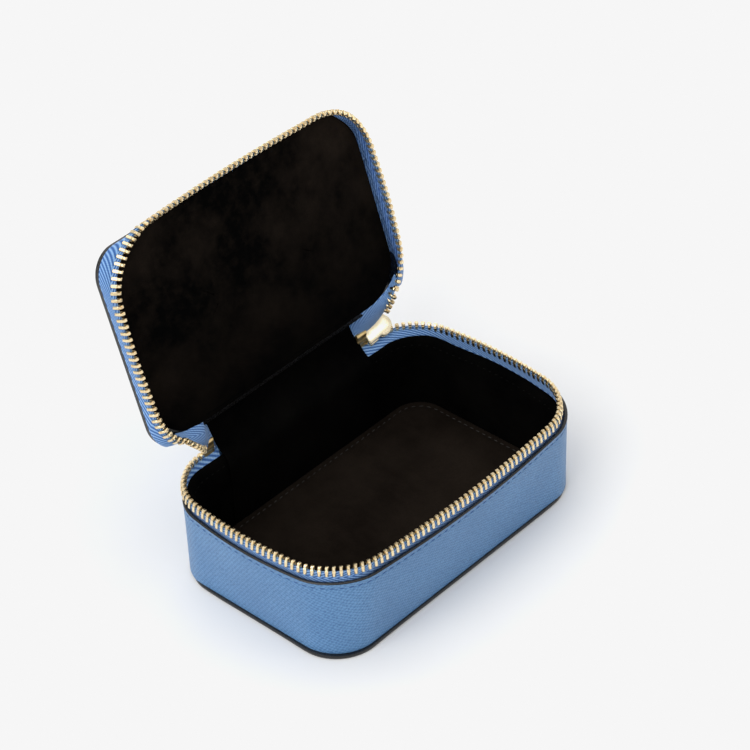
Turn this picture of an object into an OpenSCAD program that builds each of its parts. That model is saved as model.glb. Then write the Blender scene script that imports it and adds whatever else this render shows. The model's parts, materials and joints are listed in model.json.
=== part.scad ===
// Zip-round leather jewellery case, lid open.
// Origin: middle of the underside, on the surface it stands on.  +X along the long side,
// -Y to the front, +Y to the hinge at the back, +Z up.  Millimetres.

/* [Case] */
// Length of the leather wall, outside
case_l = 112.4; // [100:1:130]
// Depth of the leather wall, outside
case_w = 70.4; // [66:1:90]
// Height of the wall's painted top edge above the surface
rim_z = 28.8; // [24:0.2:40]
// Outside radius of the wall's corners
corner_r = 14; // [12:0.5:16]
// Overhang of the base panel past the wall
base_lip = 0.7; // [0.3:0.1:1.5]

/* [Layers] */
// Thickness of the wall leather
leather_t = 1.1; // [0.8:0.1:1.4]
// Thickness of the stiffening board in the wall
board_t = 2.4; // [2:0.1:3]
// Thickness of the suede lining
lining_t = 0.7; // [0.4:0.1:1.2]
// Thickness of the base panel's leather
base_leather_t = 0.9; // [0.6:0.1:1.4]
// Thickness of the board under the floor pad
base_board_t = 1.4; // [1:0.1:2.5]
// Thickness of the padded floor
floor_pad_t = 2; // [1:0.1:4]

/* [Lid] */
// Length of the lid panel
lid_l = 111; // [100:1:130]
// Depth of the lid panel
lid_w = 67.2; // [62:0.2:80]
// Corner radius of the lid panel
lid_r = 12; // [10:0.5:16]
// Thickness of the lid's outer leather
lid_leather_t = 1.2; // [0.8:0.1:1.6]
// Thickness of the layer bonded under it
lid_backing_t = 0.8; // [0.5:0.1:1.2]
// How far the lid is open
open_angle = 108; // [60:1:120]
// Hinge line behind the middle of the case
hinge_y = 37.2; // [36.8:0.1:40]
// Hinge line above the surface
hinge_z = 38.7; // [37:0.1:42]

/* [Zip] */
// Gap between the painted rim and the closed lid's panel
zip_gap = 8; // [7.6:0.1:9]
// Height above the painted rim where the two rows of teeth meet
chain_rise = 3.6; // [3.4:0.1:4]
// Tooth pitch along one side
tooth_pitch = 2.1; // [1.8:0.1:3]
// Length of a tooth along the chain
tooth_l = 1.05; // [0.8:0.05:1.3]
// Corner radius of the chain
chain_r = 16; // [14:0.5:18]
// Distance between the two end stops
stop_span = 67.8; // [60:0.2:70]
// Length of the pull tab
pull_l = 19; // [12:1:26]

/* [Stitching] */
// Stitch pitch
stitch_pitch = 2.8; // [2:0.1:4]
// Length of one visible stitch
stitch_l = 2; // [1.2:0.1:2.6]
// Distance from an edge to its row of stitches
stitch_in = 2; // [1.5:0.1:4]

/* [Hidden] */
$fn = 64;

blue = [0.37, 0.56, 0.82];
tape_blue = [0.29, 0.51, 0.85];
thread_blue = [0.24, 0.42, 0.68];
suede = [0.07, 0.06, 0.06];
grey_board = [0.55, 0.52, 0.48];
gold = [0.86, 0.74, 0.52];

fit_gap = 0.05;                              // glued faces stay this far apart
move_gap = 0.15;                             // half the gap between tray teeth and lid teeth

base_z = base_leather_t;
floor_z = base_leather_t + base_board_t + fit_gap;
pad_top = floor_z + floor_pad_t;
part_z = rim_z + chain_rise;                 // plane where the two rows of teeth meet
lid_z = rim_z + zip_gap;                     // underside of the closed lid's backing layer

tape_t = 0.7;
tape_mid = leather_t + fit_gap + tape_t / 2; // from the wall's outside to the tape's middle
tape_low_z = 20;                             // lower edge of the tape inside the wall
tape_hem = 5.5;                              // width of the tape sewn under the lid panel
tape_web_t = 0.3;                            // tape lying across the wall's top edge
tape_stop_gap = 0.4;                         // between the lid's tape and the left stop
chain_front = case_w / 2 - tape_mid;
chain_back = case_w / 2 + 1;
chain_l = case_l - 2 * tape_mid;
chain_w = chain_front + chain_back;
chain_y = (chain_back - chain_front) / 2;
tooth_h = 2.25;
tooth_w = 1.5;
tooth_jaw = 0.8;                             // how far a tooth grips down over the tape

stop_x = stop_span / 2;
stop_size = [3.4, 2.6, 6.4];
stop_y = chain_back + 0.6;
stop_face = stop_x + stop_size[0] / 2;       // side of a stop that the tapes run up to

spine_w = 63.6;
spine_t = 1;
knuckle_r = 0.8;
knuckle_gap = 0.5;                           // round the knuckle, in the upper strip
spine_tab = 2;                               // strip of spine lining under the lid's back edge
spine_tab_gap = 0.5;
spine_upper_gap = 1.4;                       // from the upper strip's edge to the hinge line
foot_gap = 2;                                // from the base panel to the spine's lower edge

bend_x = chain_l / 2 - chain_r;              // centre of the chain's back right corner
bend_y = chain_y + chain_w / 2 - chain_r;
slider_angle = 9;                            // how far the parked slider is round that corner
teeth_start_angle = 46;                      // the chain's open end, clear of the slider
plate_r = 2.8;
plate_t = 0.9;
plate_gap = 3;
plate_l = 10.4;
head_u = plate_l / 2 - plate_r;
neck_w = 4.4;
outer_face = plate_gap / 2 + plate_t;
bridge_h = 2.4;
bridge_t = 0.8;
bar_r = 0.55;
bar_v = outer_face + (bridge_h - bridge_t) / 2;
bridge_l = 5.6;
bridge_w = 2;
post_r = 0.9;
post_in = 1.2;                               // from the plates' round end to the post's axis

stitch_w = 0.5;
stitch_h = 0.25;
stitch_lift = 0.02;                          // between a wall and the stitches on it
lid_board_t = 0.5;
lid_lining_in = 3.4;
tape_under_z = lid_z - lid_board_t;
tray_lining_in = leather_t + board_t + lining_t;
past = 100;                                  // longer than the case, for cutting shapes

// ---------- outlines ----------
module rounded(l, w, r) {
  square([l - 2 * r, w], center = true);
  square([l, w - 2 * r], center = true);
  for (x = [-1, 1], y = [-1, 1])
    translate([x * (l / 2 - r), y * (w / 2 - r)]) circle(r = r);
}

// Wall outline drawn in by an inset
module wall_outline(inset) {
  rounded(case_l - 2 * inset, case_w - 2 * inset, corner_r - inset);
}

module wall_ring(inset, t) {
  difference() {
    wall_outline(inset);
    wall_outline(inset + t);
  }
}

// Chain outline grown (or drawn in) from the chain's centre line
module chain_outline(grow) {
  translate([0, chain_y])
    rounded(chain_l + 2 * grow, chain_w + 2 * grow, chain_r + grow);
}

// Opening at the back between the two ends of a tape
module back_gap(left, right) {
  translate([left, bend_y]) square([right - left, past]);
}

// Places its child at arc length s round a rounded rectangle, counted from the middle
// of the back and going left; the child's X points outwards and its Y along the path
module on_path(s, l, w, r) {
  a = l - 2 * r;
  b = w - 2 * r;
  q = PI * r / 2;
  ends = [a / 2, a / 2 + q, a / 2 + q + b, a / 2 + 2 * q + b, 1.5 * a + 2 * q + b,
          1.5 * a + 3 * q + b, 1.5 * a + 3 * q + 2 * b, 1.5 * a + 4 * q + 2 * b];
  place = s < ends[0] ? [-s, w / 2, 90]
    : s < ends[1] ? bend(-a / 2, b / 2, r, 90 + 90 * (s - ends[0]) / q)
    : s < ends[2] ? [-l / 2, b / 2 - (s - ends[1]), 180]
    : s < ends[3] ? bend(-a / 2, -b / 2, r, 180 + 90 * (s - ends[2]) / q)
    : s < ends[4] ? [-a / 2 + s - ends[3], -w / 2, 270]
    : s < ends[5] ? bend(a / 2, -b / 2, r, 270 + 90 * (s - ends[4]) / q)
    : s < ends[6] ? [l / 2, -b / 2 + s - ends[5], 0]
    : s < ends[7] ? bend(a / 2, b / 2, r, 90 * (s - ends[6]) / q)
    : [a / 2 - (s - ends[7]), w / 2, 90];
  translate([place[0], place[1], 0]) rotate([0, 0, place[2]]) children();
}

function bend(x, y, r, angle) = [x + r * cos(angle), y + r * sin(angle), angle];
function path_length(l, w, r) = 2 * (l - 2 * r) + 2 * (w - 2 * r) + 2 * PI * r;

// ---------- shared shapes ----------
// Moves a piece drawn on the closed lid to the open lid
module open_lid() {
  translate([0, hinge_y, hinge_z]) rotate([-open_angle, 0, 0])
    translate([0, -hinge_y, -hinge_z]) children();
}

module layer(z, h) {
  translate([0, 0, z]) linear_extrude(h) children();
}

// Row of stitches lying flat (flat = true) or on an upright wall
module stitch_row(l, w, r, start, stop, flat) {
  count = floor((stop - start) / stitch_pitch);
  for (i = [0 : count - 1])
    on_path(start + (i + 0.5) * (stop - start) / count, l, w, r)
      if (flat)
        translate([-stitch_w / 2, -stitch_l / 2, 0]) cube([stitch_w, stitch_l, stitch_h]);
      else
        translate([stitch_lift, -stitch_l / 2, -stitch_w / 2]) cube([stitch_h, stitch_l, stitch_w]);
}

// One tooth: a head on the tape's edge and two jaws that grip the tape
module tooth() {
  difference() {
    translate([-tooth_w / 2, -tooth_l / 2, 0]) cube([tooth_w, tooth_l, tooth_h]);
    translate([-tape_t / 2 - fit_gap, -tooth_l, -1])
      cube([tape_t + 2 * fit_gap, 2 * tooth_l, tooth_jaw + fit_gap + 1]);
  }
}

teeth_from = stop_face + tooth_l;
teeth_to = path_length(chain_l, chain_w, chain_r) - (chain_l / 2 - chain_r)
  - PI * chain_r * teeth_start_angle / 180;

module teeth_row(shift) {
  count = floor((teeth_to - teeth_from) / tooth_pitch);
  for (i = [0 : count - 1])
    translate([0, chain_y, 0])
      on_path(teeth_from + (i + shift) * tooth_pitch, chain_l, chain_w, chain_r) tooth();
}

// Crimped stop: three rounded ridges along the chain, pressed over both tapes
module end_stop() {
  lobe_r = stop_size[1] / 2;
  lobe_z = stop_size[2] / 2 - lobe_r;
  translate([0, stop_y, part_z])
    for (lobe = [-1, 0, 1])
      translate([-stop_size[0] / 2, 0, lobe * lobe_z]) rotate([0, 90, 0])
        cylinder(r = lobe_r, h = stop_size[0]);
}

// Slider frame: X along the chain away from the stop, Y outwards, Z up
module slider_frame() {
  translate([bend_x, bend_y, part_z]) rotate([0, 0, -slider_angle])
    translate([0, chain_r, 0]) children();
}

module slider_plate(y) {
  translate([0, y, 0]) rotate([-90, 0, 0]) linear_extrude(plate_t) {
    translate([head_u, 0]) circle(r = plate_r);
    translate([-plate_l / 2, -neck_w / 2]) square([plate_l / 2 + head_u, neck_w]);
  }
}

// ---------- tray ----------
module base_leather() {
  color(blue) layer(0, base_leather_t)
    rounded(case_l + 2 * base_lip, case_w + 2 * base_lip, corner_r + base_lip);
}

module base_board() {
  color(grey_board) layer(base_z + fit_gap / 2, base_board_t)
    wall_outline(tray_lining_in + fit_gap);
}

module floor_pad() {
  color(suede) layer(floor_z, floor_pad_t)
    wall_outline(tray_lining_in + 3 * fit_gap);
}

floor_l = case_l - 2 * (tray_lining_in + stitch_in);
floor_w = case_w - 2 * (tray_lining_in + stitch_in);
floor_r = corner_r - tray_lining_in - stitch_in;

module floor_stitches() {
  color(suede) translate([0, 0, pad_top])
    stitch_row(floor_l, floor_w, floor_r, 0, path_length(floor_l, floor_w, floor_r), true);
}

module tray_wall_leather() {
  color(blue) layer(base_z, rim_z - base_z) wall_ring(0, leather_t);
}

board_low = 1;                               // from the rim down to the board's top edge
lining_low = 0.3;                            // and down to the lining's

module tray_wall_board() {
  color(grey_board) difference() {
    layer(base_z + fit_gap / 2, rim_z - base_z - board_low)
      wall_ring(leather_t + fit_gap, board_t - 2 * fit_gap);
    layer(tape_low_z - 2 * fit_gap, rim_z) difference() {
      wall_outline(0);
      wall_outline(tape_mid + tape_t / 2 + fit_gap);
    }
  }
}

module tray_wall_lining() {
  color(suede) layer(base_z + fit_gap / 2, rim_z - base_z - lining_low)
    wall_ring(leather_t + board_t, lining_t);
}

module rim_stitches() {
  from = stop_x + stitch_l;
  color(thread_blue) translate([0, 0, rim_z - stitch_in])
    stitch_row(case_l, case_w, corner_r, from, path_length(case_l, case_w, corner_r) - from, false);
}

module tray_zip_tape() {
  in = tape_mid - tape_t / 2;
  color(tape_blue) difference() {
    union() {
      layer(tape_low_z, rim_z + fit_gap - tape_low_z) wall_ring(in, tape_t);
      layer(rim_z + fit_gap, tape_web_t) difference() {
        union() {
          wall_outline(in);
          chain_outline(tape_t / 2);
        }
        intersection() {
          wall_outline(in + tape_t);
          chain_outline(-tape_t / 2);
        }
      }
      layer(rim_z + fit_gap, part_z - move_gap - tooth_h + tooth_jaw - rim_z - fit_gap) difference() {
        chain_outline(tape_t / 2);
        chain_outline(-tape_t / 2);
      }
    }
    layer(0, past) back_gap(-stop_face - fit_gap, stop_face + fit_gap);
  }
}

module tray_zip_teeth() {
  color(gold) translate([0, 0, part_z - move_gap - tooth_h]) teeth_row(0);
}

module end_stop_left() {
  color(gold) translate([-stop_x, 0, 0]) end_stop();
}

module end_stop_right() {
  color(gold) translate([stop_x, 0, 0]) end_stop();
}

// ---------- spine: leather outside, suede inside, each folding along the hinge line ----------
wall_back = case_w / 2;

// Runs a section drawn in Y and Z across the width of the spine
module across_spine() {
  translate([-spine_w / 2, 0, 0]) rotate([90, 0, 90]) linear_extrude(spine_w) children();
}

module spine_leather_lower() {
  inside = wall_back + fit_gap;
  foot_z = base_z + foot_gap;
  color(blue) across_spine() union() {
    polygon([
      [inside, foot_z], [inside + spine_t, foot_z], [inside + spine_t, rim_z],
      [hinge_y + spine_t / 2, hinge_z], [hinge_y - spine_t / 2, hinge_z], [inside, rim_z]
    ]);
    translate([hinge_y, hinge_z]) circle(r = knuckle_r);
  }
}

module spine_leather_upper() {
  color(blue) open_lid() across_spine() difference() {
    translate([lid_w / 2 + fit_gap, lid_z])
      square([hinge_y - spine_upper_gap - lid_w / 2, lid_backing_t + lid_leather_t]);
    translate([hinge_y, hinge_z]) circle(r = knuckle_r + knuckle_gap);
  }
}

module spine_lining_lower() {
  inside = wall_back - tray_lining_in - fit_gap;
  color(suede) across_spine() polygon([
    [inside - lining_t, pad_top + fit_gap], [inside, pad_top + fit_gap],
    [inside, rim_z + fit_gap], [wall_back, rim_z + fit_gap],
    [wall_back, rim_z + fit_gap + lining_t], [inside - lining_t, rim_z + fit_gap + lining_t]
  ]);
}

module spine_lining_upper() {
  color(suede) open_lid() across_spine()
    translate([lid_w / 2 - spine_tab, lid_z - lining_t - spine_tab_gap - fit_gap])
      square([spine_tab, lining_t]);
}

// ---------- lid, drawn closed and opened about the hinge line ----------
module lid_outline(inset) {
  rounded(lid_l - 2 * inset, lid_w - 2 * inset, lid_r - inset);
}

module lid_leather() {
  color(blue) open_lid() layer(lid_z + lid_backing_t + fit_gap, lid_leather_t) lid_outline(0);
}

module lid_backing() {
  color(suede) open_lid() layer(lid_z, lid_backing_t) lid_outline(0);
}

module lid_board() {
  color(grey_board) open_lid() layer(tape_under_z, lid_board_t - fit_gap)
    chain_outline(-tape_hem - knuckle_gap);
}

module lid_lining() {
  color(suede) open_lid() layer(tape_under_z - fit_gap - lining_t, lining_t)
    lid_outline(lid_lining_in);
}

module lid_stitches() {
  l = lid_l - 2 * stitch_in;
  w = lid_w - 2 * stitch_in;
  r = lid_r - stitch_in;
  from = stop_x + stitch_l;
  color(thread_blue) open_lid()
    translate([0, 0, lid_z + lid_backing_t + lid_leather_t + 2 * fit_gap])
      stitch_row(l, w, r, from, path_length(l, w, r) - from, true);
}

module lid_zip_tape() {
  edge_z = part_z + move_gap + tooth_h - tooth_jaw;
  color(tape_blue) open_lid() difference() {
    union() {
      layer(edge_z, lid_z - fit_gap - edge_z) difference() {
        chain_outline(tape_t / 2);
        chain_outline(-tape_t / 2);
      }
      layer(tape_under_z, lid_board_t - fit_gap) difference() {
        chain_outline(tape_t / 2);
        chain_outline(-tape_hem);
      }
    }
    layer(0, past) back_gap(-stop_face - tape_stop_gap, bend_x + chain_r * sin(teeth_start_angle));
  }
}

module lid_zip_teeth() {
  color(gold) open_lid() translate([0, 0, part_z + move_gap + tooth_h])
    mirror([0, 0, 1]) teeth_row(0.5);
}

// ---------- slider and pull ----------
module slider_body() {
  color(gold) slider_frame() {
    slider_plate(-outer_face);
    slider_plate(plate_gap / 2);
    translate([head_u + plate_r - post_in, -plate_gap / 2, 0]) rotate([-90, 0, 0])
      cylinder(r = post_r, h = plate_gap);
  }
}

module slider_bridge() {
  color(gold) slider_frame() difference() {
    translate([-bridge_l / 2, outer_face, -bridge_w / 2]) cube([bridge_l, bridge_h, bridge_w]);
    translate([-bridge_l / 2 + bridge_t, outer_face - bridge_t, -bridge_w])
      cube([bridge_l - 2 * bridge_t, bridge_h, 2 * bridge_w]);
  }
}

module pull_tab() {
  arm = 1;
  ring_w = 4.6;
  ring_l = 4.4;
  thick = 2 * bar_r;
  color(gold) slider_frame() translate([0, bar_v, 0]) union() {
    translate([0, 0, -ring_w / 2]) cylinder(r = bar_r, h = ring_w);
    for (side = [-1, 1])
      translate([-ring_l, -bar_r, side > 0 ? ring_w / 2 - arm : -ring_w / 2])
        cube([ring_l, thick, arm]);
    translate([-ring_l - arm, -bar_r, -ring_w / 2]) cube([arm, thick, ring_w]);
    translate([-pull_l + ring_w / 2, -bar_r, -ring_w / 2])
      cube([pull_l - ring_l - arm - ring_w / 2, thick, ring_w]);
    translate([-pull_l + ring_w / 2, -bar_r, 0]) rotate([-90, 0, 0])
      cylinder(r = ring_w / 2, h = thick);
  }
}

base_leather();
base_board();
floor_pad();
floor_stitches();
tray_wall_leather();
tray_wall_board();
tray_wall_lining();
rim_stitches();
tray_zip_tape();
tray_zip_teeth();
end_stop_left();
end_stop_right();
spine_leather_lower();
spine_leather_upper();
spine_lining_lower();
spine_lining_upper();
lid_leather();
lid_backing();
lid_board();
lid_lining();
lid_stitches();
lid_zip_tape();
lid_zip_teeth();
slider_body();
slider_bridge();
pull_tab();
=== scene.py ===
import json
import math

import bmesh
import bpy
import numpy as np
from mathutils import Matrix, Vector, noise


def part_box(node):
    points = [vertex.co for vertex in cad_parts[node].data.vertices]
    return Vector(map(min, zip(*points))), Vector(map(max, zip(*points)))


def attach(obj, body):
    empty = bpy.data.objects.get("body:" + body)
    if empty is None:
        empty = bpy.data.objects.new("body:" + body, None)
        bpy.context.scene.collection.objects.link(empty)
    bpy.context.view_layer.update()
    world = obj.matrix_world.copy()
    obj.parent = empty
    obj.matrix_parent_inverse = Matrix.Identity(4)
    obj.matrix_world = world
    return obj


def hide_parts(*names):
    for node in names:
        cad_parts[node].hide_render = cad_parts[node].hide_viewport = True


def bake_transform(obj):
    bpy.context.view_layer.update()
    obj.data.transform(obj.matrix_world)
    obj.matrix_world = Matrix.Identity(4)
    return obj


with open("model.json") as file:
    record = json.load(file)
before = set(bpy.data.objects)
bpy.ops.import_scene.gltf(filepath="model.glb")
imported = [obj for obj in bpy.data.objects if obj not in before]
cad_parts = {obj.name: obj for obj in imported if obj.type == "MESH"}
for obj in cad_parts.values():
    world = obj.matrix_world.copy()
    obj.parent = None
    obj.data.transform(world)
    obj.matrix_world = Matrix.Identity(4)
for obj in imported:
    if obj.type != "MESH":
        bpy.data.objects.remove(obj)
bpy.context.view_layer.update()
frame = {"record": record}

MM = 0.001                      # lengths below are in millimetres


def box(node):
    """A CAD node's lowest and highest corners in millimetres."""
    return [np.array(corner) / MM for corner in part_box(node)]


# ---------- places taken from the frame ----------
WALL = box("tray_wall_leather")
BASE = box("base_leather")
PAD = box("floor_pad")
STOP = box("end_stop_right")
HALF_L, HALF_W = WALL[1][0], WALL[1][1]
RIM_Z = WALL[1][2]
BASE_TOP = BASE[1][2]
FLOOR_TOP = PAD[1][2]
SPINE_X = box("spine_leather_lower")[1][0]
STOP_X = (STOP[0][0] + STOP[1][0]) / 2
HINGE = next(j for j in frame["record"]["behaviour"]["joints"] if j["name"] == "lid_hinge")
HINGE_Y, HINGE_Z = HINGE["pos_m"][1] / MM, HINGE["pos_m"][2] / MM
OPEN = math.radians(HINGE["range_deg"][1])
LID_Z = 36.8                    # underside of the closed lid's panel
LID_TOP = LID_Z + 2.05          # and its outside

WALL_R = 14.0                   # corner radius of the tray's wall
PITCH = 2.1                     # of the teeth along one side
STITCH = 2.8                    # pitch of the leather's stitches
STITCH_L, STITCH_R, STITCH_SINK = 2.0, 0.2, 0.22
WELD = 2e-6                     # metres within which a piece's points are merged


# ---------- mesh tools ----------
def smooth(t):
    t = np.clip(t, 0, 1)
    return t * t * (3 - 2 * t)


FLAT, ARC = 28, 16              # points along each half side and each corner of an outline


def outline(half_l, half_w, r, front=0.0, side=0.0, cx=0.0, cy=0.0):
    """Points round a rounded rectangle, from the middle of the back and going left.
    The front and the two sides may bow outwards."""
    r = max(r, 0.05)
    a, b = max(half_l - r, 0.01), max(half_w - r, 0.01)
    pts = []

    def line(p, q):
        for i in range(FLAT):
            pts.append([p[0] + (q[0] - p[0]) * i / FLAT, p[1] + (q[1] - p[1]) * i / FLAT])

    def bend(x, y, start):
        for i in range(ARC):
            t = math.radians(start + 90 * i / ARC)
            pts.append([x + r * math.cos(t), y + r * math.sin(t)])

    line((0, half_w), (-a, half_w))
    bend(-a, b, 90)
    line((-half_l, b), (-half_l, -b))
    bend(-a, -b, 180)
    line((-a, -half_w), (a, -half_w))
    bend(a, -b, 270)
    line((half_l, -b), (half_l, b))
    bend(a, b, 0)
    line((a, half_w), (0, half_w))
    p = np.array(pts)
    x, y = p[:, 0].copy(), p[:, 1].copy()
    over_x = np.cos(math.pi * np.clip(x / half_l, -1, 1) / 2) * np.clip(np.abs(y) / half_w, 0, 1) ** 2
    over_y = np.cos(math.pi * np.clip(y / half_w, -1, 1) / 2) * np.clip(np.abs(x) / half_l, 0, 1) ** 2
    p[:, 1] -= np.where(y < 0, front, 0) * over_x
    p[:, 0] += np.sign(x) * side * over_y
    return p + [cx, cy]


COUNT = len(outline(10, 10, 2))


def pull(p, sx, sy, amount, spread=9.0):
    """Moves an outline's corner outwards (or inwards) along its diagonal."""
    tip = p[np.argmax(p[:, 0] * sx + p[:, 1] * sy)]
    near = np.exp(-(np.linalg.norm(p - tip, axis=1) / spread) ** 2)[:, None]
    return p + near * amount * np.array([sx, sy]) / math.sqrt(2)


def normals(path, closed=True):
    """Outward normals of a counter-clockwise path in X and Y."""
    if closed:
        d = np.roll(path, -1, 0) - np.roll(path, 1, 0)
    else:
        d = np.gradient(path, axis=0)
    n = np.c_[d[:, 1], -d[:, 0]]
    return n / np.maximum(np.linalg.norm(n, axis=1, keepdims=True), 1e-9)


def at(path, index):
    """A closed path's points at fractional indices."""
    index = np.asarray(index, float) % len(path)
    i = np.floor(index).astype(int)
    f = (index - i)[:, None]
    return path[i % len(path)] * (1 - f) + path[(i + 1) % len(path)] * f


def lengths(path):
    """The running length at each point of a path."""
    return np.r_[0, np.cumsum(np.linalg.norm(np.diff(path, axis=0), axis=1))]


def along(path, run, length):
    """The point of a path at a running length."""
    return np.array([np.interp(length, run, path[:, k]) for k in range(3)])


def resample(path, n):
    run = lengths(path)
    fine = np.linspace(0, run[-1], n)
    return np.stack([np.interp(fine, run, path[:, k]) for k in range(path.shape[1])], 1)


def relax(p, times):
    """Rounds off a path's corners; its ends stay."""
    for _ in range(times):
        p[1:-1] = p[1:-1] * 0.5 + (p[:-2] + p[2:]) * 0.25
    return p


def curve(points, n):
    """A smoothed path through points."""
    return resample(relax(resample(np.array(points, float), n * 4), 40), n)


def blend_rows(a, b, k):
    return a * (1 - k) + b * k


def with_z(path, z):
    return np.c_[path, np.broadcast_to(np.asarray(z, float), len(path))]


def open_lid(p, w=1.0):
    """Turns points of the closed lid by w of its opening about the hinge line."""
    p = np.asarray(p, float).reshape(-1, 3)
    t = -OPEN * np.broadcast_to(np.asarray(w, float), len(p))
    y, z = p[:, 1] - HINGE_Y, p[:, 2] - HINGE_Z
    return np.c_[p[:, 0], HINGE_Y + np.cos(t) * y - np.sin(t) * z,
                 HINGE_Z + np.sin(t) * y + np.cos(t) * z]


class Shell:
    """Gathers the surfaces of one piece: points and UVs in millimetres, material numbers."""

    def __init__(self):
        self.v, self.f, self.uv, self.m, self.count = [], [], [], [], 0

    def add(self, verts, faces, uv=None, mat=0):
        verts = np.asarray(verts, float).reshape(-1, 3)
        for k, face in enumerate(faces):
            self.f.append([int(i) + self.count for i in face])
            self.uv.extend(uv[k] if uv is not None else [(0.0, 0.0)] * len(face))
            self.m.append(mat[k] if isinstance(mat, (list, tuple)) else mat)
        self.v.append(verts)
        self.count += len(verts)

    def grid(self, p, round_u=False, round_v=False, mat=0, u=None, flat=False):
        """p[row][column]. mat is one number or one per row of faces. UVs are running lengths, or X and Y
        where flat is set."""
        p = np.asarray(p, float)
        rows, cols = p.shape[:2]
        if u is None:
            mid = p[rows // 2]
            mid = np.r_[mid, mid[:1]] if round_u else mid
            u = lengths(mid)
        mid = p[:, cols // 2]
        v = lengths(np.r_[mid, mid[:1]] if round_v else mid)
        faces, uv, mats = [], [], []
        for i in range(rows if round_v else rows - 1):
            for j in range(cols if round_u else cols - 1):
                i2, j2 = (i + 1) % rows, (j + 1) % cols
                faces.append([i * cols + j, i * cols + j2, i2 * cols + j2, i2 * cols + j])
                uv.append([tuple(q[:2]) for q in (p[i, j], p[i, j2], p[i2, j2], p[i2, j])] if flat else
                          [(u[j], v[i]), (u[j + 1], v[i]), (u[j + 1], v[i + 1]), (u[j], v[i + 1])])
                mats.append(mat[i] if isinstance(mat, (list, tuple)) else mat)
        self.add(p.reshape(-1, 3), faces, uv, mats)

    def cap(self, ring, mat=0):
        ring = np.asarray(ring, float)
        self.add(ring, [list(range(len(ring)))], [[(q[0], q[1]) for q in ring]], mat)


def tube(rows, u=None):
    """A shell closed round its rows and capped at both ends of them."""
    s = Shell()
    s.grid(rows, round_v=True, u=u)
    s.cap([r[0] for r in rows])
    s.cap([r[-1] for r in rows])
    return s


def piece(name, shell, body, mats, replaces=(), sharp=40, warp=None):
    """Makes the object, welds and shades it, and ties it to its body. warp moves the points last."""
    me = bpy.data.meshes.new(name)
    v = np.concatenate(shell.v)
    if warp is not None:
        v = warp(v)
    me.from_pydata((v * MM).tolist(), [], shell.f)
    layer = me.uv_layers.new(name="mm")
    layer.data.foreach_set("uv", np.array(shell.uv, np.float32).ravel())
    me.polygons.foreach_set("material_index", shell.m)
    for m in mats:
        me.materials.append(m)
    bm = bmesh.new()
    bm.from_mesh(me)
    bmesh.ops.remove_doubles(bm, verts=bm.verts, dist=WELD)
    bmesh.ops.recalc_face_normals(bm, faces=bm.faces)
    bm.to_mesh(me)
    bm.free()
    me.shade_smooth()
    me.set_sharp_from_angle(angle=math.radians(sharp))
    ob = bpy.data.objects.new(name, me)
    bpy.context.scene.collection.objects.link(ob)
    if body:
        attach(ob, body)
    if replaces:
        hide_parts(*replaces)
    return ob


def chamfer_box(size, bevel, centre=(0, 0, 0), tilt=0.0):
    """A box with bevelled edges and corners; tilt turns it about its second axis."""
    h = np.array(size, float) / 2
    b = np.minimum(bevel, h * 0.9)
    verts, key = [], {}
    signs = [(sx, sy, sz) for sx in (-1, 1) for sy in (-1, 1) for sz in (-1, 1)]
    for s in signs:
        for k in range(3):
            q = [s[m] * (h[m] - b[m]) for m in range(3)]
            q[k] = s[k] * h[k]
            key[(s, k)] = len(verts)
            verts.append(q)
    faces = [[key[(s, 0)], key[(s, 1)], key[(s, 2)]] for s in signs]
    for k in range(3):
        m, n = [i for i in range(3) if i != k]
        for side in (-1, 1):
            ring = []
            for sm, sn in ((-1, -1), (1, -1), (1, 1), (-1, 1)):
                s = [0, 0, 0]
                s[k], s[m], s[n] = side, sm, sn
                ring.append(key[(tuple(s), k)])
            faces.append(ring)
        for sm in (-1, 1):
            for sn in (-1, 1):
                a, c = [0, 0, 0], [0, 0, 0]
                a[k], a[m], a[n] = -1, sm, sn
                c[k], c[m], c[n] = 1, sm, sn
                a, c = tuple(a), tuple(c)
                faces.append([key[(a, m)], key[(c, m)], key[(c, n)], key[(a, n)]])
    verts = np.array(verts)
    if tilt:
        c, s = math.cos(tilt), math.sin(tilt)
        verts = np.c_[c * verts[:, 0] + s * verts[:, 2], verts[:, 1], -s * verts[:, 0] + c * verts[:, 2]]
    return verts + np.array(centre), faces


def join(*parts):
    """Joins (points, faces) pairs into one."""
    verts, faces, n = [], [], 0
    for v, f in parts:
        verts.append(v)
        faces += [[i + n for i in face] for face in f]
        n += len(v)
    return np.concatenate(verts), faces


# ---------- materials ----------
def rgb(r, g, b):
    """sRGB 0 to 255 as linear colour."""
    return tuple(((c / 255 / 12.92) if c <= 10 else ((c / 255 + 0.055) / 1.055) ** 2.4)
                 for c in (r, g, b)) + (1.0,)


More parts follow.
